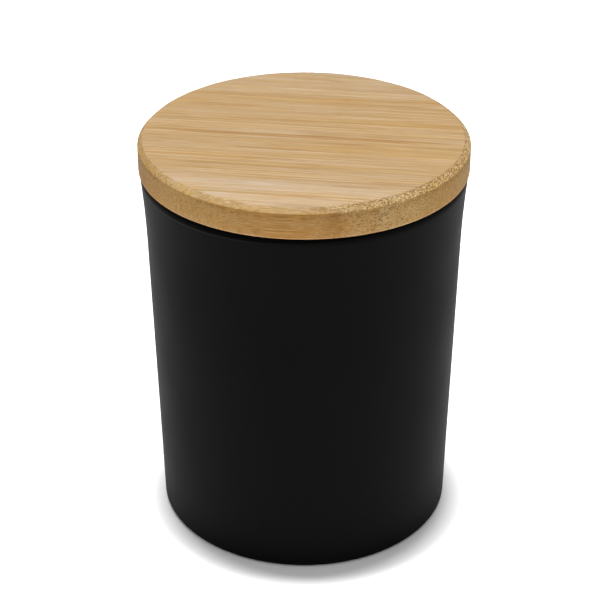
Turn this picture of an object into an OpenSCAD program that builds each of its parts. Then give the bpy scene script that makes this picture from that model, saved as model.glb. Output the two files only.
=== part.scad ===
// Empty candle vessel with a push-in bamboo lid.
// Frame: origin at the centre of the base, +Z up through the lid, millimetres.
// Every piece is turned about the Z axis and is drawn in its closed place.

/* [Vessel] */
// Height from the table to the rim
vessel_height = 94; // [80:1:120]
// Outer diameter at the rim, before its edge is rounded
rim_diameter = 79.6; // [78.8:0.1:79.8]
// Distance that the lip stands out from the line of the wall at the rim
lip_flare = 0.75; // [0.2:0.05:0.85]
// Height over which the lip flares out
lip_height = 19; // [10:1:24]
// Outer diameter of the wall where it reaches the table
base_diameter = 73.8; // [72:0.1:77]
// Diameter of the mouth at the rim
mouth_diameter = 72; // [71:0.1:72.2]
// Inner diameter where the wall meets the floor
floor_diameter = 67.2; // [64:0.1:70]
// Height of the inside floor above the table
floor_height = 7; // [4:0.1:10]
// Depth of the hollow under the base
punt_depth = 1.6; // [0.5:0.1:2.5]
// Diameter of the hollow under the base, inside the ring the vessel stands on
punt_diameter = 63; // [50:0.5:64]
// Radius of the outside bottom edge
heel_radius = 1.2; // [0.6:0.1:3]
// Radius of the inside bottom corner
floor_corner_radius = 6; // [2:0.5:10]
// Radius of the outer edge of the rim
rim_outer_radius = 2; // [0.5:0.1:2.1]
// Radius of the inner edge of the rim
rim_inner_radius = 1; // [0.4:0.1:1.1]

/* [Lid] */
// Diameter of the lid's disc
lid_diameter = 80; // [79.5:0.1:84]
// Thickness of the disc above the rim
lid_thickness = 7.6; // [5:0.1:12]
// Width of the chamfer round the top of the disc
chamfer = 1.3; // [0.6:0.1:2]
// Radius that softens both edges of the chamfer
chamfer_softening = 0.5; // [0.2:0.1:0.6]
// Radius of the lower edge of the disc
lower_edge_radius = 0.3; // [0.1:0.05:0.4]
// Diameter of the plug that goes into the mouth
plug_diameter = 69.2; // [68:0.1:69.6]
// Depth of the plug below the rim
plug_depth = 5.6; // [5.6:0.1:9]
// Radius of the plug's lower edge
plug_edge_radius = 0.8; // [0.2:0.1:0.8]

/* [Seal ring] */
// Depth of the groove that the ring sits in
groove_depth = 1.6; // [1.2:0.1:2.4]
// Height of the groove
groove_height = 3.2; // [3:0.1:3.4]
// Distance from the rim down to the groove
groove_drop = 1.2; // [1:0.1:1.2]
// Gap between the ring and the groove, on every side
groove_clearance = 0.05; // [0.02:0.01:0.1]
// Gap between the fins and the mouth
fin_clearance = 0.07; // [0.02:0.01:0.1]
// Thickness of a fin where it leaves the ring
fin_root = 0.8; // [0.6:0.05:0.9]
// Thickness of a fin at its tip
fin_tip = 0.5; // [0.3:0.05:0.6]
// Height that a fin's tip is bent up by the mouth
fin_rise = 0.35; // [0.1:0.05:0.4]

/* [Hidden] */
$fn = 180;

// Segments in each quarter turn or so of an outline's arcs
ARC_STEPS = 10;
PUNT_STEPS = 12;
LIP_STEPS = 10;
FINS = 2;
// Share of its pitch at which a fin leaves the ring
FIN_PLACE = 0.42;
// Half the angle that a fin's rounded tip turns through
FIN_TIP_TURN = 75;

rim_r = rim_diameter / 2;
base_r = base_diameter / 2;
mouth_r = mouth_diameter / 2;
floor_r = floor_diameter / 2;
punt_r = punt_diameter / 2;
lid_r = lid_diameter / 2;
plug_r = plug_diameter / 2;
lid_top = vessel_height + lid_thickness;
plug_bottom = vessel_height - plug_depth;
groove_top = vessel_height - groove_drop;
groove_bottom = groove_top - groove_height;
groove_r = plug_r - groove_depth;

// Draft angles of the outer and inner walls, both widening upward
outer_draft = atan((rim_r - lip_flare - base_r) / vessel_height);
inner_draft = atan((mouth_r - floor_r) / (vessel_height - floor_height));

// Radius of each wall at height z
function outer_r(z) = base_r + z * tan(outer_draft);
function inner_r(z) = floor_r + (z - floor_height) * tan(inner_draft);

// Points along an arc about (x, y), from angle a0 to angle a1
function arc(x, y, radius, a0, a1, steps = ARC_STEPS) =
    [for (i = [0:steps])
        let (a = a0 + (a1 - a0) * i / steps)
        [x + radius * cos(a), y + radius * sin(a)]];

// The lip is an arc that leaves the line of the wall smoothly and runs into the rim's rounding
lip_start = vessel_height - lip_height;
lip_radius = lip_height ^ 2 / (2 * lip_flare);
lip_centre = [
    outer_r(lip_start) + lip_radius * cos(outer_draft),
    lip_start - lip_radius * sin(outer_draft)
];
rim_centre_z = vessel_height - rim_outer_radius;
lip_end = asin((rim_centre_z - lip_centre.y) / (lip_radius + rim_outer_radius));
rim_centre_r = lip_centre.x - (lip_radius + rim_outer_radius) * cos(lip_end);

// The hollow under the base: a shallow spherical cap, from the axis outward
function punt_outline() =
    let (sphere_r = (punt_r ^ 2 + punt_depth ^ 2) / (2 * punt_depth))
    [for (i = [0:PUNT_STEPS])
        let (r = punt_r * i / PUNT_STEPS)
        [r, sqrt(sphere_r ^ 2 - r ^ 2) - sphere_r + punt_depth]];

// Arcs that touch a drafted wall and a level face
function heel_outline() =
    arc(outer_r(heel_radius) - heel_radius / cos(outer_draft), heel_radius,
        heel_radius, -90, -outer_draft);
function rim_outer_outline() =
    arc(rim_centre_r, rim_centre_z, rim_outer_radius, -lip_end, 90);
function rim_inner_outline() =
    let (z = vessel_height - rim_inner_radius)
    arc(inner_r(z) + rim_inner_radius / cos(inner_draft), z,
        rim_inner_radius, 90, 180 - inner_draft);
function floor_corner_outline() =
    let (z = floor_height + floor_corner_radius)
    arc(inner_r(z) - floor_corner_radius / cos(inner_draft), z,
        floor_corner_radius, -inner_draft, -90);

// The lip, up to where the rim's rounding begins
function lip_outline() =
    [for (i = [0:LIP_STEPS - 1])
        let (a = 180 - outer_draft - (lip_end - outer_draft) * i / LIP_STEPS)
        lip_centre + lip_radius * [cos(a), sin(a)]];

// Moulded tumbler with a thick floor, standing on a flat ring round the punt
module vessel() {
    color([0.07, 0.07, 0.075])
        rotate_extrude()
            polygon(concat(
                punt_outline(),
                heel_outline(),
                lip_outline(),
                rim_outer_outline(),
                rim_inner_outline(),
                floor_corner_outline(),
                [[0, floor_height]]
            ));
}

// One turned piece: disc, plug and the groove for the seal ring
module lid() {
    // Where an arc of this radius meets the faces on either side of a 45 degree corner
    tangent = chamfer_softening * tan(22.5);
    color([0.80, 0.63, 0.42])
        rotate_extrude()
            polygon(concat(
                [[0, plug_bottom]],
                arc(plug_r - plug_edge_radius, plug_bottom + plug_edge_radius,
                    plug_edge_radius, -90, 0),
                [
                    [plug_r, groove_bottom],
                    [groove_r, groove_bottom],
                    [groove_r, groove_top],
                    [plug_r, groove_top],
                    [plug_r, vessel_height]
                ],
                arc(lid_r - lower_edge_radius, vessel_height + lower_edge_radius,
                    lower_edge_radius, -90, 0),
                arc(lid_r - chamfer_softening, lid_top - chamfer - tangent,
                    chamfer_softening, 0, 45),
                arc(lid_r - chamfer - tangent, lid_top - chamfer_softening,
                    chamfer_softening, 45, 90),
                [[0, lid_top]]
            ));
}

// One fin, from its lower root out round its tip and back to its upper root
function fin_outline(z, root_r, tip_r) =
    concat(
        [[root_r, z - fin_root / 2]],
        arc(tip_r - fin_tip / 2, z + fin_rise, fin_tip / 2, -FIN_TIP_TURN, FIN_TIP_TURN),
        [[root_r, z + fin_root / 2]]
    );

// Silicone ring in its squeezed shape: a band in the groove, with fins out to the mouth
module seal_ring() {
    band_inner_r = groove_r + groove_clearance;
    band_outer_r = plug_r;
    band_bottom = groove_bottom + groove_clearance;
    band_top = groove_top - groove_clearance;
    pitch = (band_top - band_bottom) / FINS;
    // The mouth narrows downward, so the fins clear it at their lowest point
    tip_r = inner_r(groove_bottom) - fin_clearance;
    color([0.86, 0.86, 0.84])
        rotate_extrude()
            polygon(concat(
                [[band_inner_r, band_bottom], [band_outer_r, band_bottom]],
                [for (i = [0:FINS - 1])
                    each fin_outline(band_bottom + pitch * (i + FIN_PLACE), band_outer_r, tip_r)],
                [[band_outer_r, band_top], [band_inner_r, band_top]]
            ));
}

vessel();
lid();
seal_ring();
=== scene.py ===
import math
import random

import bmesh
import bpy
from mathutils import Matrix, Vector, noise


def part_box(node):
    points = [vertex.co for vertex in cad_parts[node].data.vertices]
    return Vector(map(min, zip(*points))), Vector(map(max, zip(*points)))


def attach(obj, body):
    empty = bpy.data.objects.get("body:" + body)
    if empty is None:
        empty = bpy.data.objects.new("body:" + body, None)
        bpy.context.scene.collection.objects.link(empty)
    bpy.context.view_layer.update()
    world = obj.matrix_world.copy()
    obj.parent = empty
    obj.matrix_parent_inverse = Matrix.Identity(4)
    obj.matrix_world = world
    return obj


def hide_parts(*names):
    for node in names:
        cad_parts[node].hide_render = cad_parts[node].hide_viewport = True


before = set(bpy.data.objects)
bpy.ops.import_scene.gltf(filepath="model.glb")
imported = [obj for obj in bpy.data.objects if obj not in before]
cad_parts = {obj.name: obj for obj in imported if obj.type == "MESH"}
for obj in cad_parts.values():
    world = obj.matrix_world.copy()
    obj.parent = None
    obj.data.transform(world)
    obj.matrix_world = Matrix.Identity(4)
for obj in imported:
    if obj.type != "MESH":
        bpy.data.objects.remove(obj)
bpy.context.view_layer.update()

# Everything is in metres, in the frame of the CAD model: the base's centre is the origin and +Z is up.
MM = 0.001
QUARTER = math.pi / 2

# ---------------------------------------------------------------- sizes

# The vessel
RIM_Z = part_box("vessel")[1][2]
VESSEL_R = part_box("vessel")[1][0]
RIM_R = 39.8 * MM
LIP_FLARE = 0.75 * MM
LIP_HEIGHT = 19 * MM
BASE_R = 36.9 * MM
MOUTH_R = 36.0 * MM
FLOOR_R = 33.6 * MM
FLOOR_Z = 7.0 * MM
PUNT_DEPTH = 1.6 * MM
PUNT_R = 31.5 * MM
HEEL = 1.2 * MM
RIM_OUTER = 2.0 * MM
RIM_INNER = 1.0 * MM
FLOOR_CORNER = 6.0 * MM
WALL_RIPPLE = 0.02 * MM
INSIDE_RIPPLE = 0.05 * MM

# The lid
LID_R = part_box("lid")[1][0]
LID_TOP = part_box("lid")[1][2]
PLUG_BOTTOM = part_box("lid")[0][2]
CHAMFER = 1.3 * MM
CHAMFER_SOFT = 0.5 * MM
LID_LOWER_EDGE = 0.3 * MM
PLUG_R = 34.6 * MM
PLUG_EDGE = 0.8 * MM
GROOVE_R = 33.0 * MM
GROOVE_TOP = RIM_Z - 1.2 * MM
GROOVE_BOTTOM = GROOVE_TOP - 3.2 * MM
GROOVE_EDGE = 0.15 * MM
SANDING = 0.13 * MM

# The seal ring
SEAL_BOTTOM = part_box("seal_ring")[0][2]
SEAL_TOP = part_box("seal_ring")[1][2]
SEAL_TIP_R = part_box("seal_ring")[1][0]
SEAL_INNER_R = GROOVE_R + 0.05 * MM
SEAL_EDGE = 0.25 * MM
FIN_ROOT = 0.8 * MM
FIN_TIP = 0.5 * MM
FIN_RISE = 0.35 * MM
FIN_FLARE = 0.25 * MM
FIN_HEIGHTS = (0.21, 0.71)

# The board that the lid is turned from: strips on edge, with the grain turned this much from +X
GRAIN_TURN = math.radians(-8)
STRIP_WIDTH = 5.8

# ---------------------------------------------------------------- outlines and turned meshes


def arc(x, y, radius, start, end, steps=8):
    """Points of an arc about (x, y), from angle start to angle end."""
    turns = [start + (end - start) * i / steps for i in range(steps + 1)]
    return [(x + radius * math.cos(a), y + radius * math.sin(a)) for a in turns]


def filled(points, spacing):
    """The same outline with points added along its longer stretches."""
    out = [points[0]]
    for (x0, y0), (x1, y1) in zip(points, points[1:]):
        count = max(1, math.ceil(math.hypot(x1 - x0, y1 - y0) / spacing))
        for i in range(1, count + 1):
            out.append((x0 + (x1 - x0) * i / count, y0 + (y1 - y0) * i / count))
    return out


def turned(name, outline, segments, shape=None, closed=False):
    """A mesh turned about Z from (radius, height) points, outside on the right as the outline runs.
    shape(radius, angle, height) moves each point. A closed outline makes a ring."""
    made = bmesh.new()
    rings = []
    for radius, height in outline:
        if radius < 1e-7:
            rings.append([made.verts.new((0, 0, height))])
            continue
        ring = []
        for i in range(segments):
            angle = 2 * math.pi * i / segments
            r, z = shape(radius, angle, height) if shape else (radius, height)
            ring.append(made.verts.new((r * math.cos(angle), r * math.sin(angle), z)))
        rings.append(ring)
    pairs = list(zip(rings, rings[1:]))
    if closed:
        pairs.append((rings[-1], rings[0]))
    for lower, upper in pairs:
        for i in range(segments):
            j = (i + 1) % segments
            # A ring of one point closes the end of the piece, so its faces are triangles
            below = [lower[i % len(lower)], lower[j % len(lower)]]
            above = [upper[j % len(upper)], upper[i % len(upper)]]
            face = made.faces.new(list(dict.fromkeys(below + above)))
            face.smooth = True
    mesh = bpy.data.meshes.new(name)
    made.to_mesh(mesh)
    made.free()
    piece = bpy.data.objects.new(name, mesh)
    bpy.context.scene.collection.objects.link(piece)
    return piece


def ripple(angle, height, around, along, seed):
    """Smooth noise on a cylinder, from 0 to 1. around is bumps per turn and along is bumps per metre."""
    k = around / (2 * math.pi)
    at = Vector((k * math.cos(angle), k * math.sin(angle), height * along + seed))
    return min(1.0, max(0.0, 0.5 + 0.5 * noise.noise(at)))


# ---------------------------------------------------------------- material nodes


class Graph:
    """A material and short ways to add nodes to it. Inputs are sockets or plain values."""

    def __init__(self, name):
        self.material = bpy.data.materials.new(name)
        self.material.use_nodes = True
        self.tree = self.material.node_tree
        self.tree.nodes.clear()

    def add(self, kind, inputs=(), **settings):
        node = self.tree.nodes.new("ShaderNode" + kind)
        for key, value in settings.items():
            setattr(node, key, value)
        for key, value in dict(inputs).items():
            self.put(node.inputs[key], value)
        return node

    def put(self, socket, value):
        if isinstance(value, bpy.types.NodeSocket):
            self.tree.links.new(value, socket)
        else:
            socket.default_value = value

    def math(self, operation, a, b=0.0, clamp=False):
        return self.add("Math", {0: a, 1: b}, operation=operation, use_clamp=clamp).outputs[0]

    def times(self, first, *others):
        for other in others:
            first = self.math("MULTIPLY", first, other)
        return first

    def noise(self, at, detail=2.0, roughness=0.5, scale=1.0):
        inputs = {"Vector": at, "Scale": scale, "Detail": detail, "Roughness": roughness}
        return self.add("TexNoise", inputs).outputs["Fac"]

    def smooth(self, value, low, high, to_low=0.0, to_high=1.0):
        inputs = {"Value": value, "From Min": low, "From Max": high, "To Min": to_low, "To Max": to_high}
        return self.add("MapRange", inputs, interpolation_type="SMOOTHSTEP").outputs[0]

    def near(self, value, place, none_at, full_at):
        """1 where the value is within full_at of a place, and 0 where it's none_at or more away."""
        return self.smooth(self.math("ABSOLUTE", self.math("SUBTRACT", value, place)), none_at, full_at)

    def scaled(self, value, low, high, to_low, to_high):
        inputs = {"Value": value, "From Min": low, "From Max": high, "To Min": to_low, "To Max": to_high}
        return self.add("MapRange", inputs).outputs[0]

    def mix(self, amount, a, b, blend="MIX"):
        node = self.add("Mix", data_type="RGBA", blend_type=blend)
        self.put(node.inputs[0], amount)
        self.put(node.inputs[6], a)
        self.put(node.inputs[7], b)
        return node.outputs[2]

    def split(self, vector):
        return self.add("SeparateXYZ", {0: vector}).outputs[:]

    def join(self, x, y, z):
        return self.add("CombineXYZ", {0: x, 1: y, 2: z}).outputs[0]

    def stretch(self, vector, scale):
        return self.add("VectorMath", {0: vector, 1: scale}, operation="MULTIPLY").outputs[0]

    def ramp(self, value, stops, interpolation="EASE"):
        """stops are (place, colour), in order."""
        node = self.add("ValToRGB", {0: value})
        node.color_ramp.interpolation = interpolation
        elements = node.color_ramp.elements
        while len(elements) < len(stops):
            elements.new(1.0)
        for element, (place, colour) in zip(elements, stops):
            element.position = place
            element.color = (*colour, 1.0)
        return node.outputs[0]

    def bump(self, height, depth, normal=None):
        inputs = {"Height": height, "Distance": depth, "Strength": 1.0}
        if normal is not None:
            inputs["Normal"] = normal
        return self.add("Bump", inputs).outputs[0]

    def finish(self, inputs):
        shader = self.add("BsdfPrincipled", inputs)
        out = self.add("OutputMaterial")
        self.tree.links.new(shader.outputs[0], out.inputs[0])
        return self.material


def surface(red, green, blue):
    """The surface colour that looks like this, on the 0 to 255 screen scale, on the lid's top."""
    light = [(c / 255 + 0.055) / 1.055 for c in (red, green, blue)]
    return tuple((c ** 2.4 - sheen) / LIGHT_ON_TOP for c, sheen in zip(light, SHEEN_ON_TOP))


def grey(value):
    return (value, value, value, 1.0)


# ---------------------------------------------------------------- bamboo

# What white would return from the lid's top in this light, and the sheen that lies over its colour.
# They turn colours as seen into surface colours.
LIGHT_ON_TOP = 1.80
SHEEN_ON_TOP = (0.005, 0.015, 0.025)

# Wood colours as they look. The board is palest in front, golden in the middle and duller at the back
FRONT_WOOD = (216, 187, 150)
MIDDLE_WOOD = (204, 170, 124)
BACK_WOOD = (205, 175, 136)
PALE_STREAK = (228, 201, 166)
PALE_FIBRE = (236, 206, 152)
BOARD_HALF = 40

# Tints that the wood's colour is multiplied by
OCHRE = (0.68, 0.50, 0.26, 1.0)
LONG_EDGE = (0.86, 0.64, 0.30, 1.0)
CUT_EDGE = (0.86, 0.70, 0.37, 1.0)
BLOTCH = (0.66, 0.50, 0.30, 1.0)
# Painted light: a paler tint for the right end of the turned edge, where more light falls
PAINTED_LIGHT_RIGHT_END = (1.06, 1.10, 1.16, 1.0)
CUT_FIBRE = (0.40, 0.28, 0.14, 1.0)

STREAK_SEED = 5
STREAK_COUNT = 26
STREAK_TAPER = 4.0

# Bundles of fibres and pores, in mm
BUNDLE_LENGTH = 14
BUNDLE_PITCH = 0.5
PORE_PITCH = 0.44
GRAIN_RELIEF = 0.05

# The lid's edge in mm: where the flat top ends, and how high the top is
FLAT_R = (LID_R - CHAMFER) / MM
TOP = LID_TOP / MM
UNDERSIDE = RIM_Z / MM


def board_tones():
    """Stops for a ramp across the board: the place, from 0 at the front to 1 at the back, and the colour."""
    stops = ((-30, FRONT_WOOD), (-21, MIDDLE_WOOD), (20, MIDDLE_WOOD), (30, BACK_WOOD))
    return [((mm + BOARD_HALF) / (2 * BOARD_HALF), surface(*wood)) for mm, wood in stops]


def streaks():
    """Streaks along the grain: place across it, start, end and half width, all in mm, and how much darker
    than the board each is. A long pair by the middle and one at the back are set, and the rest are random."""
    rows = [
        (-1, -38, 34, 0.5, 0.20),
        (-2, -30, 26, 0.4, 0.20),
        (22, -30, 34, 0.6, 0.14),
    ]
    chance = random.Random(STREAK_SEED)
    for i in range(STREAK_COUNT):
        place = BOARD_HALF * (2 * (i + chance.random()) / STREAK_COUNT - 1)
        middle = chance.uniform(-26, 26)
        reach = chance.uniform(5, 16)
        half_width = chance.uniform(0.35, 0.80)
        darker = chance.choice((0.15, 0.12, 0.09, -0.07))
        rows.append((place, middle - reach, middle + reach, half_width, darker))
    return rows


class Board(Graph):
    """The lid's wood. Its places are in millimetres along the grain, across it and up."""

    def __init__(self):
        super().__init__("bamboo")
        coords = self.add("TexCoord").outputs
        turn = (0, 0, -GRAIN_TURN)
        to_mm = {"Vector": coords["Object"], "Rotation": turn, "Scale": (1000, 1000, 1000)}
        self.grain = self.add("Mapping", to_mm).outputs[0]
        self.along, self.straight, self.up = self.split(self.grain)
        level = self.join(self.along, self.straight, 0.0)
        self.from_axis = self.add("VectorMath", {0: level}, operation="LENGTH").outputs["Value"]
        # How far the surface faces along the grain, and how far it faces sideways at all
        turned_normal = {"Vector": coords["Normal"], "Rotation": turn}
        facing = self.add("Mapping", turned_normal, vector_type="VECTOR").outputs[0]
        facing_along, _, facing_up = self.split(facing)
        self.end_grain = self.smooth(self.math("ABSOLUTE", facing_along), 0.08, 0.55)
        self.side = self.smooth(self.math("ABSOLUTE", facing_up), 0.92, 0.40)
        # The fibres wander a little
        wander = self.noise(self.stretch(self.grain, (1 / 45, 1 / 16, 1 / 16)), detail=1.0)
        self.across = self.math("ADD", self.straight, self.scaled(wander, 0.0, 1.0, -0.25, 0.25))
        self.fibre = self.join(self.along, self.across, self.up)
        # Noises that more than one layer uses
        self.streaky = self.fibres(24, 0.58)
        self.fine = self.fibres(9, 0.24)
        self.crowd = self.smooth(self.fibres(9, 2.6, detail=1.0), 0.36, 0.60)
        # Bundles of fibres: lines along the grain, and dots where they are cut across
        bundles = self.cells(self.fibre, BUNDLE_LENGTH, BUNDLE_PITCH, 0.8)
        self.bundle_far = bundles["Distance"]
        core = self.smooth(self.bundle_far, 0.50, 0.20)
        own = self.split(bundles["Color"])[0]
        self.dots = self.times(core, self.scaled(own, 0.0, 1.0, 0.45, 1.0))
        self.pits = self.cells(self.grain, PORE_PITCH, PORE_PITCH, 1.0)["Distance"]
        # The chamfer, and the end of the board where the cut fibres are open
        above = self.smooth(self.up, TOP - 1.65, TOP - 1.25)
        self.on_chamfer = self.times(above, self.smooth(self.from_axis, FLAT_R - 0.1, FLAT_R + 0.15))
        self.open_side = self.smooth(self.along, 2.0, 22.0)

    def cells(self, at, length, pitch, randomness):
        scale = (1 / length, 1 / pitch, 1 / pitch)
        inputs = {"Vector": self.stretch(at, scale), "Scale": 1.0, "Randomness": randomness}
        return self.add("TexVoronoi", inputs).outputs

    def fibres(self, length, width, detail=2.0, roughness=0.6):
        """Noise drawn out along the grain, about 0.5."""
        return self.noise(self.stretch(self.fibre, (1 / length, 1 / width, 1 / width)), detail, roughness)

    def lines(self, length, width, level):
        """Thin lines along the grain, where the noise passes through a level."""
        return self.near(self.fibres(length, width, detail=1.0), level, 0.035, 0.0)

    def tinted(self, amount, colour, tint):
        return self.mix(amount, colour, tint, "MULTIPLY")


def streak_group():
    """A node group that says how strongly one streak shows at (along, across)."""
    group = bpy.data.node_groups.new("streak", "ShaderNodeTree")
    face = group.interface
    for name in ("along", "across", "place", "start", "end", "half_width", "amount"):
        face.new_socket(name, in_out="INPUT", socket_type="NodeSocketFloat")
    face.new_socket("shows", in_out="OUTPUT", socket_type="NodeSocketFloat")
    nodes, links = group.nodes, group.links
    inside = nodes.new("NodeGroupInput").outputs
    outside = nodes.new("NodeGroupOutput").inputs

    def put(socket, value):
        if isinstance(value, bpy.types.NodeSocket):
            links.new(value, socket)
        else:
            socket.default_value = value

    def maths(operation, a, b):
        node = nodes.new("ShaderNodeMath")
        node.operation = operation
        put(node.inputs[0], a)
        put(node.inputs[1], b)
        return node.outputs[0]

    def fade(value, low, high, to_low, to_high):
        node = nodes.new("ShaderNodeMapRange")
        node.interpolation_type = "SMOOTHSTEP"
        keys = ("Value", "From Min", "From Max", "To Min", "To Max")
        for key, item in zip(keys, (value, low, high, to_low, to_high)):
            put(node.inputs[key], item)
        return node.outputs[0]

    def fade_about(end, to_low, to_high):
        low = maths("SUBTRACT", end, STREAK_TAPER)
        high = maths("ADD", end, STREAK_TAPER)
        return fade(inside["along"], low, high, to_low, to_high)

    off = maths("ABSOLUTE", maths("SUBTRACT", inside["across"], inside["place"]), 0.0)
    core = fade(off, 0.0, maths("MULTIPLY", inside["half_width"], 1.6), 1.0, 0.0)
    begins = fade_about(inside["start"], 0.0, 1.0)
    ends = fade_about(inside["end"], 1.0, 0.0)
    shows = maths("MULTIPLY", maths("MULTIPLY", core, begins), maths("MULTIPLY", ends, inside["amount"]))
    links.new(shows, outside["shows"])
    return group


def streak_strength(g):
    """All the streaks together, broken up along their length."""
    group = streak_group()
    total = None
    for row in streaks():
        node = g.add("Group", node_tree=group)
        g.put(node.inputs["along"], g.along)
        g.put(node.inputs["across"], g.straight)
        for name, value in zip(("place", "start", "end", "half_width", "amount"), row):
            node.inputs[name].default_value = value
        total = node.outputs[0] if total is None else g.math("ADD", total, node.outputs[0])
    broken = g.times(g.scaled(g.streaky, 0.35, 0.65, 0.35, 1.3), g.scaled(g.fine, 0.3, 0.7, 0.7, 1.3))
    return g.times(total, broken)


def straight_grain(g):
    """Straight lines that fade in and out along the grain, and finer hairs among them. The lines are
    strongest in two bands and calm in one corner."""
    band = g.math("MAXIMUM", g.near(g.straight, 9.0, 8.0, 4.0), g.near(g.straight, -28.0, 8.0, 4.0))
    calm = g.times(g.smooth(g.along, 0.0, -18.0), g.smooth(g.straight, 12.0, 19.0))
    strength = g.times(
        g.scaled(g.fibres(20, 2.2, detail=1.0), 0.35, 0.65, 0.35, 1.0),
        g.scaled(band, 0.0, 1.0, 0.75, 1.15),
        g.scaled(calm, 0.0, 1.0, 1.0, 0.5),
    )
    lined = g.times(g.scaled(g.fibres(400, 0.52, roughness=0.65), 0.25, 0.75, -0.30, 0.30), strength)
    broken = g.scaled(g.fibres(8, 0.8), 0.3, 0.7, 0.3, 1.2)
    hairs = g.times(g.scaled(g.fibres(150, 0.24), 0.25, 0.75, -0.20, 0.20), broken)
    return g.math("ADD", lined, 1.0), g.math("ADD", hairs, 1.0)


def strip_layers(g):
    """Each strip of the board has a tone of its own, and a fine glue line."""
    strip = g.math("DIVIDE", g.math("ADD", g.across, 100.0), STRIP_WIDTH)
    own = g.add("TexWhiteNoise", {"W": g.math("FLOOR", strip)}, noise_dimensions="1D").outputs["Value"]
    glue = g.near(g.math("FRACT", strip), 0.5, 0.482, 0.499)
    return g.scaled(own, 0.0, 1.0, 0.975, 1.025), g.scaled(glue, 0.0, 1.0, 1.0, 0.95)


def wood_tone(g):
    """Light and dark together, as a factor about 1."""
    thin = g.math("MAXIMUM", g.lines(90, 1.3, 0.50), g.times(g.lines(60, 0.8, 0.44), 0.8))
    dots_on_top = g.times(g.dots, g.math("SUBTRACT", 1.0, g.side))
    return g.times(
        g.scaled(g.fibres(26, 4.5), 0.25, 0.75, 0.98, 1.02),
        *straight_grain(g),
        g.scaled(g.streaky, 0.25, 0.75, 0.93, 1.07),
        g.scaled(g.fine, 0.25, 0.75, 0.92, 1.08),
        g.scaled(g.fibres(3.2, 0.45), 0.25, 0.75, 0.95, 1.05),
        *strip_layers(g),
        g.scaled(dots_on_top, 0.0, 1.0, 1.0, 0.94),
        g.scaled(thin, 0.0, 1.0, 1.0, 0.82),
        g.scaled(g.lines(70, 1.0, 0.56), 0.0, 1.0, 1.0, 1.10),
        g.scaled(g.lines(11, 0.55, 0.46), 0.0, 1.0, 1.02, 0.90),
    )


def wood_colour(g):
    """The board's own colour, before its edge is turned. Darker wood is also more golden."""
    colour = g.ramp(g.scaled(g.across, -BOARD_HALF, BOARD_HALF, 0.0, 1.0), board_tones())
    tone = wood_tone(g)
    warm = g.scaled(g.fibres(30, 2.4), 0.25, 0.75, 0.74, 1.26)
    warmth = g.times(warm, g.scaled(g.fibres(6, 1.3), 0.25, 0.75, 0.91, 1.09))
    by_channel = g.join(
        g.math("POWER", tone, 0.75),
        g.times(tone, g.math("POWER", warmth, 0.22)),
        g.times(g.math("POWER", tone, 1.8), warmth),
    )
    colour = g.tinted(1.0, colour, by_channel)
    # Dark streaks lean to ochre, and light ones to pale peach
    placed = streak_strength(g)
    colour = g.tinted(g.math("MULTIPLY", placed, 3.4, clamp=True), colour, OCHRE)
    return g.mix(g.math("MULTIPLY", placed, -4.0, clamp=True), colour, (*surface(*PALE_STREAK), 1.0))


def edge_colour(g, wood):
    """The turned edge takes more of the finish. It's deeper towards the chamfer and blotchy just under it,
    and its lowest half millimetre is a painted highlight, made lighter where floor light would catch the
    lower rounding.
    """
    edge = g.mix(g.end_grain, g.tinted(1.0, wood, LONG_EDGE), g.tinted(1.0, wood, CUT_EDGE))
    deep_and_lower_edge_light = g.scaled(g.up, TOP - 7.0, TOP - 1.5, 1.07, 0.92)
    # Painted highlight: the lowest half millimetre of the edge is made lighter, standing in for floor light
    # on the lower rounding
    deep_and_lower_edge_light = g.times(deep_and_lower_edge_light, g.smooth(g.up, UNDERSIDE + 0.55, UNDERSIDE + 0.15, 1.0, 1.35))
    edge = g.tinted(1.0, edge, g.join(deep_and_lower_edge_light, deep_and_lower_edge_light, g.math("POWER", deep_and_lower_edge_light, 2.0)))
    under_chamfer = g.times(g.smooth(g.up, TOP - 3.0, TOP - 1.9), g.smooth(g.up, TOP - 1.1, TOP - 1.5))
    blotch = g.noise(g.stretch(g.grain, (1 / 3.5, 1 / 3.5, 1 / 1.2)), detail=3.0, roughness=0.65)
    in_front = g.times(g.smooth(g.along, -24.0, -12.0), g.smooth(g.along, 30.0, 18.0))
    blotched = g.times(under_chamfer, g.smooth(blotch, 0.44, 0.58), in_front)
    edge = g.tinted(g.times(blotched, 0.42), edge, BLOTCH)
    rough_cut = g.scaled(g.fibres(2.4, 0.34), 0.25, 0.75, 0.89, 1.11)
    return g.tinted(1.0, edge, g.join(rough_cut, rough_cut, rough_cut))


def torn_colour(g, colour):
    """The chamfer is torn and more golden. Seen along its face, the edge's colour is darkened: painted shade
    that depends on the view angle.
    """
    torn = g.times(g.on_chamfer, g.scaled(g.fibres(1.8, 0.36), 0.3, 0.7, -0.17, 0.17))
    torn = g.math("ADD", g.math("ADD", torn, 1.0), g.times(g.on_chamfer, 0.06))
    grazing = g.add("LayerWeight", {"Blend": 0.5}).outputs["Facing"]
    # Painted shade: the edge's colour darkens as it is seen more edge-on
    painted_grazing_shade = g.times(g.side, g.smooth(grazing, 0.55, 0.98, 0.0, 0.22))
    torn = g.times(torn, g.math("SUBTRACT", 1.0, painted_grazing_shade))
    golden = g.scaled(g.on_chamfer, 0.0, 1.0, 1.0, 0.89)
    return g.tinted(1.0, colour, g.join(torn, torn, g.times(torn, golden)))


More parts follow.
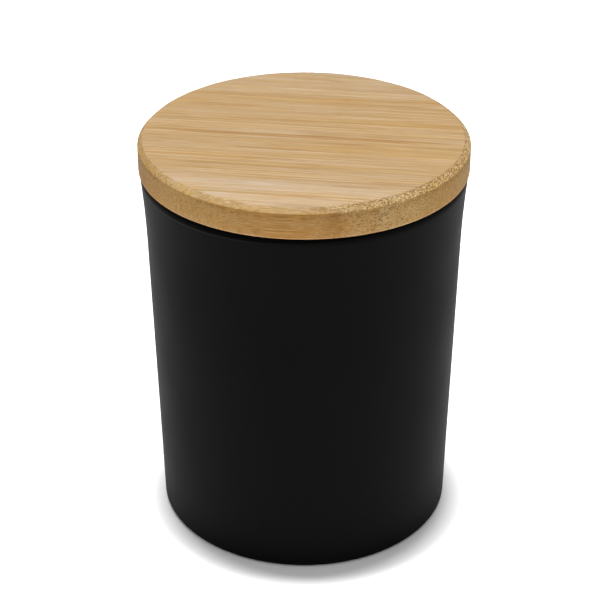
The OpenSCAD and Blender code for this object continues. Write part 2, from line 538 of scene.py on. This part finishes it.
def cut_ends(g):
    """How open the cut fibres are. One end of the board is more open, most of all on the chamfer, and
    there's a patch of open ends just under the chamfer at the other end."""
    on_side = g.times(
        g.math("SUBTRACT", 1.0, g.on_chamfer),
        g.scaled(g.along, -30.0, 10.0, 0.05, 0.95),
        g.smooth(g.along, 36.0, 26.0, 0.45, 1.0),
    )
    openness = g.math("ADD", on_side, g.times(g.on_chamfer, g.scaled(g.along, -8.0, 18.0, 0.0, 1.0)))
    patch = g.times(g.smooth(g.along, -25.0, -30.0), g.smooth(g.up, TOP - 4.4, TOP - 2.6))
    openness = g.math("ADD", openness, g.times(patch, 0.5), clamp=True)
    return g.times(g.end_grain, g.times(openness, g.scaled(g.crowd, 0.0, 1.0, 0.55, 1.0)))


def open_pores(g):
    """Pores on the chamfer and just under it, and the fine line of them along the chamfer's upper edge."""
    at_top = g.smooth(g.up, TOP - 0.5, TOP - 0.2)
    near_edge = g.times(g.near(g.from_axis, FLAT_R + 0.1, 0.30, 0.08), at_top)
    below = g.times(g.smooth(g.up, TOP - 3.4, TOP - 1.9), 0.8, g.smooth(g.from_axis, FLAT_R, FLAT_R + 0.5))
    on_edge = g.times(g.math("MAXIMUM", g.on_chamfer, below), g.scaled(g.crowd, 0.0, 1.0, 0.6, 1.0))
    on_edge = g.math("MAXIMUM", near_edge, on_edge)
    in_patch = g.times(below, g.smooth(g.along, -25.0, -31.0), g.scaled(g.crowd, 0.0, 1.0, 0.3, 1.0))
    pores = g.math("MAXIMUM", g.times(on_edge, g.open_side), in_patch)
    edge_line = g.times(g.near(g.from_axis, FLAT_R - 0.1, 0.24, 0.06), g.open_side, at_top)
    return g.times(pores, g.smooth(g.pits, 0.55, 0.30)), edge_line


def bamboo():
    g = Board()
    wood = wood_colour(g)
    colour = g.mix(g.side, wood, edge_colour(g, wood))
    # Painted light: the right end of the turned edge is made paler, standing in for more light falling on it
    colour = g.tinted(g.times(g.side, g.smooth(g.along, 16.0, 34.0)), colour, PAINTED_LIGHT_RIGHT_END)
    colour = torn_colour(g, colour)

    # Cut fibres: dark dots with pale rims
    cut = cut_ends(g)
    pores, edge_line = open_pores(g)
    dark = g.math("MAXIMUM", g.times(g.dots, cut, 0.65), g.times(pores, 0.9))
    dark = g.math("MAXIMUM", dark, g.times(edge_line, g.smooth(g.pits, 0.70, 0.35, 0.15, 0.65)))
    colour = g.tinted(g.math("MINIMUM", dark, 1.0), colour, CUT_FIBRE)
    rim = g.times(g.smooth(g.bundle_far, 0.38, 0.54), g.smooth(g.bundle_far, 0.85, 0.60))
    rims = g.times(rim, cut, g.scaled(g.on_chamfer, 0.0, 1.0, 0.4, 0.1))
    specks = g.times(g.on_chamfer, g.smooth(g.pits, 0.55, 0.75), g.open_side)
    pale = g.math("MINIMUM", g.math("MAXIMUM", rims, g.times(specks, 0.7)), 1.0)
    colour = g.mix(pale, colour, (*surface(*PALE_FIBRE), 1.0))

    relief = g.math("SUBTRACT", g.times(g.fine, 0.35), dark)
    relief = g.math("SUBTRACT", relief, g.times(g.dots, 0.12))
    return g.finish({
        "Base Color": colour,
        "Roughness": g.math("ADD", g.scaled(g.streaky, 0.2, 0.8, 0.44, 0.58), g.times(g.side, 0.25)),
        "Normal": g.bump(relief, GRAIN_RELIEF * MM),
        "Specular IOR Level": 0.22,
    })


# ---------------------------------------------------------------- coat, glass and silicone


def black_coat():
    """Sprayed matte coat, with a faint orange peel, a scuffed standing ring, and a painted shadow and
    highlight line on the rim under the lid.
    """
    g = Graph("black_coat")
    at = g.add("TexCoord").outputs["Object"]
    mm = g.stretch(at, (1000, 1000, 1000))
    x, _, z = g.split(mm)
    peel = g.noise(g.stretch(mm, (1 / 0.8, 1 / 0.8, 1 / 0.8)), detail=2.0)
    grit = g.noise(g.stretch(mm, (1 / 0.16, 1 / 0.16, 1 / 0.16)), detail=1.0)
    cloud = g.noise(g.stretch(mm, (1 / 14, 1 / 14, 1 / 20)), detail=2.0)
    # Painted shadow: the rounding of the rim is made blacker above a line that rises from left to right,
    # standing in for shade under the lid, and a faint painted highlight line runs along it on the left. The
    # line's height is uneven round the rim
    lid_shadow_line_z = g.scaled(x, -40.0, 40.0, RIM_Z / MM - 2.3, RIM_Z / MM - 0.2)
    below_lid_shadow_line = g.math("SUBTRACT", lid_shadow_line_z, z)
    _, _, facing_up = g.split(g.add("TexCoord").outputs["Normal"])
    painted_lid_shadow = g.times(g.smooth(below_lid_shadow_line, 0.10, -0.15), g.smooth(facing_up, 0.8, 0.5))
    painted_rim_highlight = g.times(g.near(below_lid_shadow_line, 0.25, 0.30, 0.0), g.smooth(x, 5.0, -38.0))
    # Scuffs where the vessel stands
    scratch = g.noise(g.stretch(mm, (1 / 0.5, 1 / 3.0, 1 / 0.5)), detail=3.0, roughness=0.7)
    scuffed = g.times(g.smooth(z, 0.25, 0.0), g.smooth(scratch, 0.55, 0.68))
    colour = g.mix(g.scaled(cloud, 0.3, 0.7, 0.0, 1.0), grey(0.0020), grey(0.0028))
    colour = g.mix(g.times(scuffed, 0.7), colour, grey(0.10))
    # Painted shadow under the lid, over the rounding of the rim
    colour = g.mix(g.times(painted_lid_shadow, 0.8), colour, grey(0.0))
    # Painted highlight line along the lower edge of that shadow, on the left
    colour = g.mix(painted_rim_highlight, colour, grey(0.014))
    rough = g.math("ADD", g.scaled(cloud, 0.3, 0.7, 0.54, 0.60), g.scaled(grit, 0.3, 0.7, -0.02, 0.02))
    normal = g.bump(grit, 0.002 * MM, g.bump(peel, 0.006 * MM))
    return g.finish({
        "Base Color": colour,
        "Roughness": rough,
        "Normal": normal,
        "Specular IOR Level": 0.034,
    })


def inside_glass():
    """Bare glass over the coat: gloss black."""
    g = Graph("inside_glass")
    at = g.add("TexCoord").outputs["Object"]
    mm = g.stretch(at, (1000, 1000, 1000))
    wave = g.noise(g.stretch(mm, (1 / 9, 1 / 9, 1 / 14)), detail=1.0)
    dust = g.noise(g.stretch(mm, (1 / 2.5, 1 / 2.5, 1 / 2.5)), detail=4.0, roughness=0.7)
    rough = g.scaled(dust, 0.35, 0.75, 0.05, 0.13)
    colour = g.mix(g.smooth(dust, 0.5, 0.8), (0.009, 0.0095, 0.0095, 1.0), (0.016, 0.017, 0.017, 1.0))
    return g.finish({
        "Base Color": colour,
        "Roughness": rough,
        "Normal": g.bump(wave, 0.05 * MM),
        "IOR": 1.52,
    })


def silicone():
    g = Graph("silicone")
    at = g.add("TexCoord").outputs["Object"]
    mm = g.stretch(at, (1000, 1000, 1000))
    cloud = g.noise(g.stretch(mm, (1 / 6, 1 / 6, 1 / 3)), detail=2.0)
    grain = g.noise(g.stretch(mm, (1 / 0.2, 1 / 0.2, 1 / 0.2)), detail=2.0)
    colour = g.mix(cloud, (0.70, 0.70, 0.66, 1.0), (0.80, 0.80, 0.77, 1.0))
    rough = g.scaled(grain, 0.3, 0.7, 0.32, 0.44)
    return g.finish({
        "Base Color": colour,
        "Roughness": rough,
        "Normal": g.bump(grain, 0.01 * MM),
        "IOR": 1.41,
        "Subsurface Weight": 0.5,
        "Subsurface Radius": (1.0, 0.95, 0.85),
        "Subsurface Scale": 1.2 * MM,
    })


# ---------------------------------------------------------------- vessel

outer_draft = math.atan((RIM_R - LIP_FLARE - BASE_R) / RIM_Z)
inner_draft = math.atan((MOUTH_R - FLOOR_R) / (RIM_Z - FLOOR_Z))


def outer_r(z):
    return BASE_R + z * math.tan(outer_draft)


def inner_r(z):
    return FLOOR_R + (z - FLOOR_Z) * math.tan(inner_draft)


def lip_outline():
    """An arc that flares out from the wall, then the rounded edge of the rim."""
    start = RIM_Z - LIP_HEIGHT
    radius = LIP_HEIGHT ** 2 / (2 * LIP_FLARE)
    centre_r = outer_r(start) + radius * math.cos(outer_draft)
    centre_z = start - radius * math.sin(outer_draft)
    end = math.asin((RIM_Z - RIM_OUTER - centre_z) / (radius + RIM_OUTER))
    rim_r = centre_r - (radius + RIM_OUTER) * math.cos(end)
    lip = arc(centre_r, centre_z, radius, 2 * QUARTER - outer_draft, 2 * QUARTER - end, 16)
    return lip[:-1] + arc(rim_r, RIM_Z - RIM_OUTER, RIM_OUTER, -end, QUARTER, 10)


def vessel_outline():
    """From the middle of the underside, out, up the wall, over the rim and down to the floor."""
    sphere_r = (PUNT_R ** 2 + PUNT_DEPTH ** 2) / (2 * PUNT_DEPTH)
    punt = [(r, math.sqrt(sphere_r ** 2 - r ** 2) - sphere_r + PUNT_DEPTH)
            for r in (PUNT_R * i / 16 for i in range(17))]
    heel = arc(outer_r(HEEL) - HEEL / math.cos(outer_draft), HEEL, HEEL, -QUARTER, -outer_draft)
    z = RIM_Z - RIM_INNER
    rim_r = inner_r(z) + RIM_INNER / math.cos(inner_draft)
    rim_in = arc(rim_r, z, RIM_INNER, QUARTER, 2 * QUARTER - inner_draft)
    z = FLOOR_Z + FLOOR_CORNER
    corner_r = inner_r(z) - FLOOR_CORNER / math.cos(inner_draft)
    corner = arc(corner_r, z, FLOOR_CORNER, -inner_draft, -QUARTER, 12)
    return punt + heel + lip_outline() + rim_in + corner + [(0, FLOOR_Z)]


def vessel_shape(radius, angle, height):
    """Moulded walls aren't quite true. They only ever lean inside their CAD shape."""
    clear_of_ends = min(1.0, max(0.0, min(height - 10 * MM, RIM_Z - 10 * MM - height) / (10 * MM)))
    if radius > (outer_r(height) + inner_r(height)) / 2:
        radius -= WALL_RIPPLE * clear_of_ends * ripple(angle, height, 9, 45, 1.0)
        return min(radius, VESSEL_R), height
    return radius + INSIDE_RIPPLE * clear_of_ends * ripple(angle, height, 7, 40, 5.0), height


def make_vessel():
    piece = turned("vessel_shell", filled(vessel_outline(), 2.5 * MM), 288, vessel_shape)
    piece.data.materials.append(black_coat())
    piece.data.materials.append(inside_glass())
    wall_middle_at_rim = (outer_r(RIM_Z) + inner_r(RIM_Z)) / 2
    for face in piece.data.polygons:
        x, y, z = face.center
        r = math.hypot(x, y)
        inside = z > FLOOR_Z - PUNT_DEPTH and r < min(inner_r(z) + 0.6 * MM, wall_middle_at_rim - 0.8 * MM)
        face.material_index = 1 if inside else 0
    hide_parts("vessel")
    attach(piece, "vessel_body")


# ---------------------------------------------------------------- lid


def lid_outline():
    """From the middle of the plug's underside, out, past the groove, round the disc and over the top."""
    plug_edge = arc(PLUG_R - PLUG_EDGE, PLUG_BOTTOM + PLUG_EDGE, PLUG_EDGE, -QUARTER, 0, 6)
    e = GROOVE_EDGE
    groove = (
        arc(PLUG_R - e, GROOVE_BOTTOM - e, e, 0, QUARTER, 3)
        + arc(GROOVE_R + e, GROOVE_BOTTOM + e, e, 3 * QUARTER, 2 * QUARTER, 3)
        + arc(GROOVE_R + e, GROOVE_TOP - e, e, 2 * QUARTER, QUARTER, 3)
        + arc(PLUG_R - e, GROOVE_TOP + e, e, -QUARTER, 0, 3)
    )
    under = [(PLUG_R, RIM_Z - e), (PLUG_R + e, RIM_Z)]
    lower = arc(LID_R - LID_LOWER_EDGE, RIM_Z + LID_LOWER_EDGE, LID_LOWER_EDGE, -QUARTER, 0, 5)
    tangent = CHAMFER_SOFT * math.tan(math.pi / 8)
    chamfer = (
        arc(LID_R - CHAMFER_SOFT, LID_TOP - CHAMFER - tangent, CHAMFER_SOFT, 0, QUARTER / 2, 5)
        + arc(LID_R - CHAMFER - tangent, LID_TOP - CHAMFER_SOFT, CHAMFER_SOFT, QUARTER / 2, QUARTER, 5)
    )
    return [(0, PLUG_BOTTOM)] + plug_edge + groove + under + lower + chamfer + [(0, LID_TOP)]


def lid_shape(radius, angle, height):
    """The chamfer is sanded by hand, so its width changes a little round the lid."""
    near_chamfer = max(0.0, 1 - abs(radius - (LID_R - CHAMFER / 2)) / (1.6 * CHAMFER))
    near_top = max(0.0, 1 - (LID_TOP - height) / (2.2 * CHAMFER))
    cut = SANDING * min(near_chamfer, near_top) * (
        0.5 * ripple(angle, height, 40, 90, 2.0) + 0.5 * ripple(angle, height, 150, 400, 9.0))
    on_chamfer = radius > LID_R - 2 * CHAMFER and height > LID_TOP - CHAMFER
    return radius - cut, height - (cut if on_chamfer else 0.0)


def make_lid():
    piece = turned("lid_board", filled(lid_outline(), 1.0 * MM), 480, lid_shape)
    piece.data.materials.append(bamboo())
    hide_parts("lid")
    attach(piece, "lid_body")


# ---------------------------------------------------------------- seal ring


def seal_outline():
    """A band in the groove with rounded fins, from its lower inner edge, out and back."""
    e = SEAL_EDGE
    height = SEAL_TOP - SEAL_BOTTOM
    outline = arc(SEAL_INNER_R + e, SEAL_BOTTOM + e, e, -2 * QUARTER, -QUARTER, 4)
    outline += arc(PLUG_R - e, SEAL_BOTTOM + e, e, -QUARTER, 0, 4)[:-1]
    for share in FIN_HEIGHTS:
        z = SEAL_BOTTOM + share * height
        tip = (SEAL_TIP_R - FIN_TIP / 2, z + FIN_RISE)
        low, high = z - FIN_ROOT / 2, z + FIN_ROOT / 2
        outline += [(PLUG_R, low), (PLUG_R + FIN_FLARE, low + 0.10 * MM)]
        outline += arc(*tip, FIN_TIP / 2, -0.8 * QUARTER, 0.8 * QUARTER, 8)
        outline += [(PLUG_R + FIN_FLARE, high + 0.02 * MM), (PLUG_R, high + 0.06 * MM)]
    outline += arc(PLUG_R - e, SEAL_TOP - e, e, 0, QUARTER, 4)[1:]
    outline += arc(SEAL_INNER_R + e, SEAL_TOP - e, e, QUARTER, 2 * QUARTER, 4)
    return outline


def make_seal():
    piece = turned("seal_band", filled(seal_outline(), 0.6 * MM), 360, closed=True)
    piece.data.materials.append(silicone())
    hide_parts("seal_ring")
    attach(piece, "seal_body")


# ---------------------------------------------------------------- stage, light and camera

STAGE_HALF = 3.0
STAGE_Z = -0.02 * MM

# The ceiling's strength at the horizon and overhead, and what the camera sees where there is no floor
HORIZON_LIGHT = 0.42
CEILING_LIGHT = 0.61
CEILING_FROM = 0.5
BACKDROP = 1.1

# Two soft lights overhead, a little behind the object, in degrees from straight down
SUN_ENERGY = 1.94
SUN_SOFTNESS = 4.2
SUN_BACK = 2.3
SUN_SPREAD = 1.7
SUN_LEAN = -0.5

# Where the camera is, and how far it looks down and turns aside, in radians
CAMERA_PLACE = (-1.1 * MM, -392.9 * MM, 280.1 * MM)
CAMERA_DOWN = 0.52152
CAMERA_TURN = -0.00333
CAMERA_LENS = 105.8


def make_floor():
    mesh = bpy.data.meshes.new("floor")
    h, z = STAGE_HALF, STAGE_Z
    mesh.from_pydata([(-h, -h, z), (h, -h, z), (h, h, z), (-h, h, z)], [], [(0, 1, 2, 3)])
    floor = bpy.data.objects.new("floor", mesh)
    bpy.context.scene.collection.objects.link(floor)
    g = Graph("floor_white")
    mesh.materials.append(g.finish({"Base Color": grey(0.97), "Roughness": 0.9, "Specular IOR Level": 0.0}))


def make_world():
    """A bright ceiling that falls off towards the horizon, with an even white backdrop for the camera."""
    world = bpy.data.worlds.new("studio")
    world.use_nodes = True
    bpy.context.scene.world = world
    nodes, links = world.node_tree.nodes, world.node_tree.links
    nodes.clear()
    direction = nodes.new("ShaderNodeTexCoord")
    parts = nodes.new("ShaderNodeSeparateXYZ")
    ceiling = nodes.new("ShaderNodeMapRange")
    ceiling.interpolation_type = "SMOOTHSTEP"
    ceiling.inputs["From Min"].default_value = 0.0
    ceiling.inputs["From Max"].default_value = CEILING_FROM
    ceiling.inputs["To Min"].default_value = HORIZON_LIGHT
    ceiling.inputs["To Max"].default_value = CEILING_LIGHT
    lit = nodes.new("ShaderNodeBackground")
    lit.inputs["Color"].default_value = grey(1.0)
    seen = nodes.new("ShaderNodeBackground")
    seen.inputs["Color"].default_value = grey(1.0)
    seen.inputs["Strength"].default_value = BACKDROP
    path = nodes.new("ShaderNodeLightPath")
    both = nodes.new("ShaderNodeMixShader")
    out = nodes.new("ShaderNodeOutputWorld")
    links.new(direction.outputs["Generated"], parts.inputs[0])
    links.new(parts.outputs["Z"], ceiling.inputs["Value"])
    links.new(ceiling.outputs[0], lit.inputs["Strength"])
    links.new(path.outputs["Is Camera Ray"], both.inputs[0])
    links.new(lit.outputs[0], both.inputs[1])
    links.new(seen.outputs[0], both.inputs[2])
    links.new(both.outputs[0], out.inputs[0])


def make_suns():
    for name, spread in (("overhead_left", -SUN_SPREAD), ("overhead_right", SUN_SPREAD)):
        sun = bpy.data.lights.new(name, "SUN")
        sun.energy = SUN_ENERGY
        sun.angle = math.radians(SUN_SOFTNESS)
        lamp = bpy.data.objects.new(name, sun)
        lamp.rotation_euler = (math.radians(-SUN_BACK), math.radians(spread + SUN_LEAN), 0)
        bpy.context.scene.collection.objects.link(lamp)


def make_camera():
    camera = bpy.data.cameras.new("camera")
    camera.lens = CAMERA_LENS
    camera.sensor_width = 36
    camera.clip_start = 0.01
    holder = bpy.data.objects.new("camera", camera)
    holder.location = CAMERA_PLACE
    holder.rotation_euler = (QUARTER - CAMERA_DOWN, 0, CAMERA_TURN)
    bpy.context.scene.collection.objects.link(holder)
    bpy.context.scene.camera = holder


make_camera()
make_world()
make_suns()
make_floor()
make_vessel()
make_lid()
make_seal()
bpy.context.scene.view_settings.view_transform = "Standard"
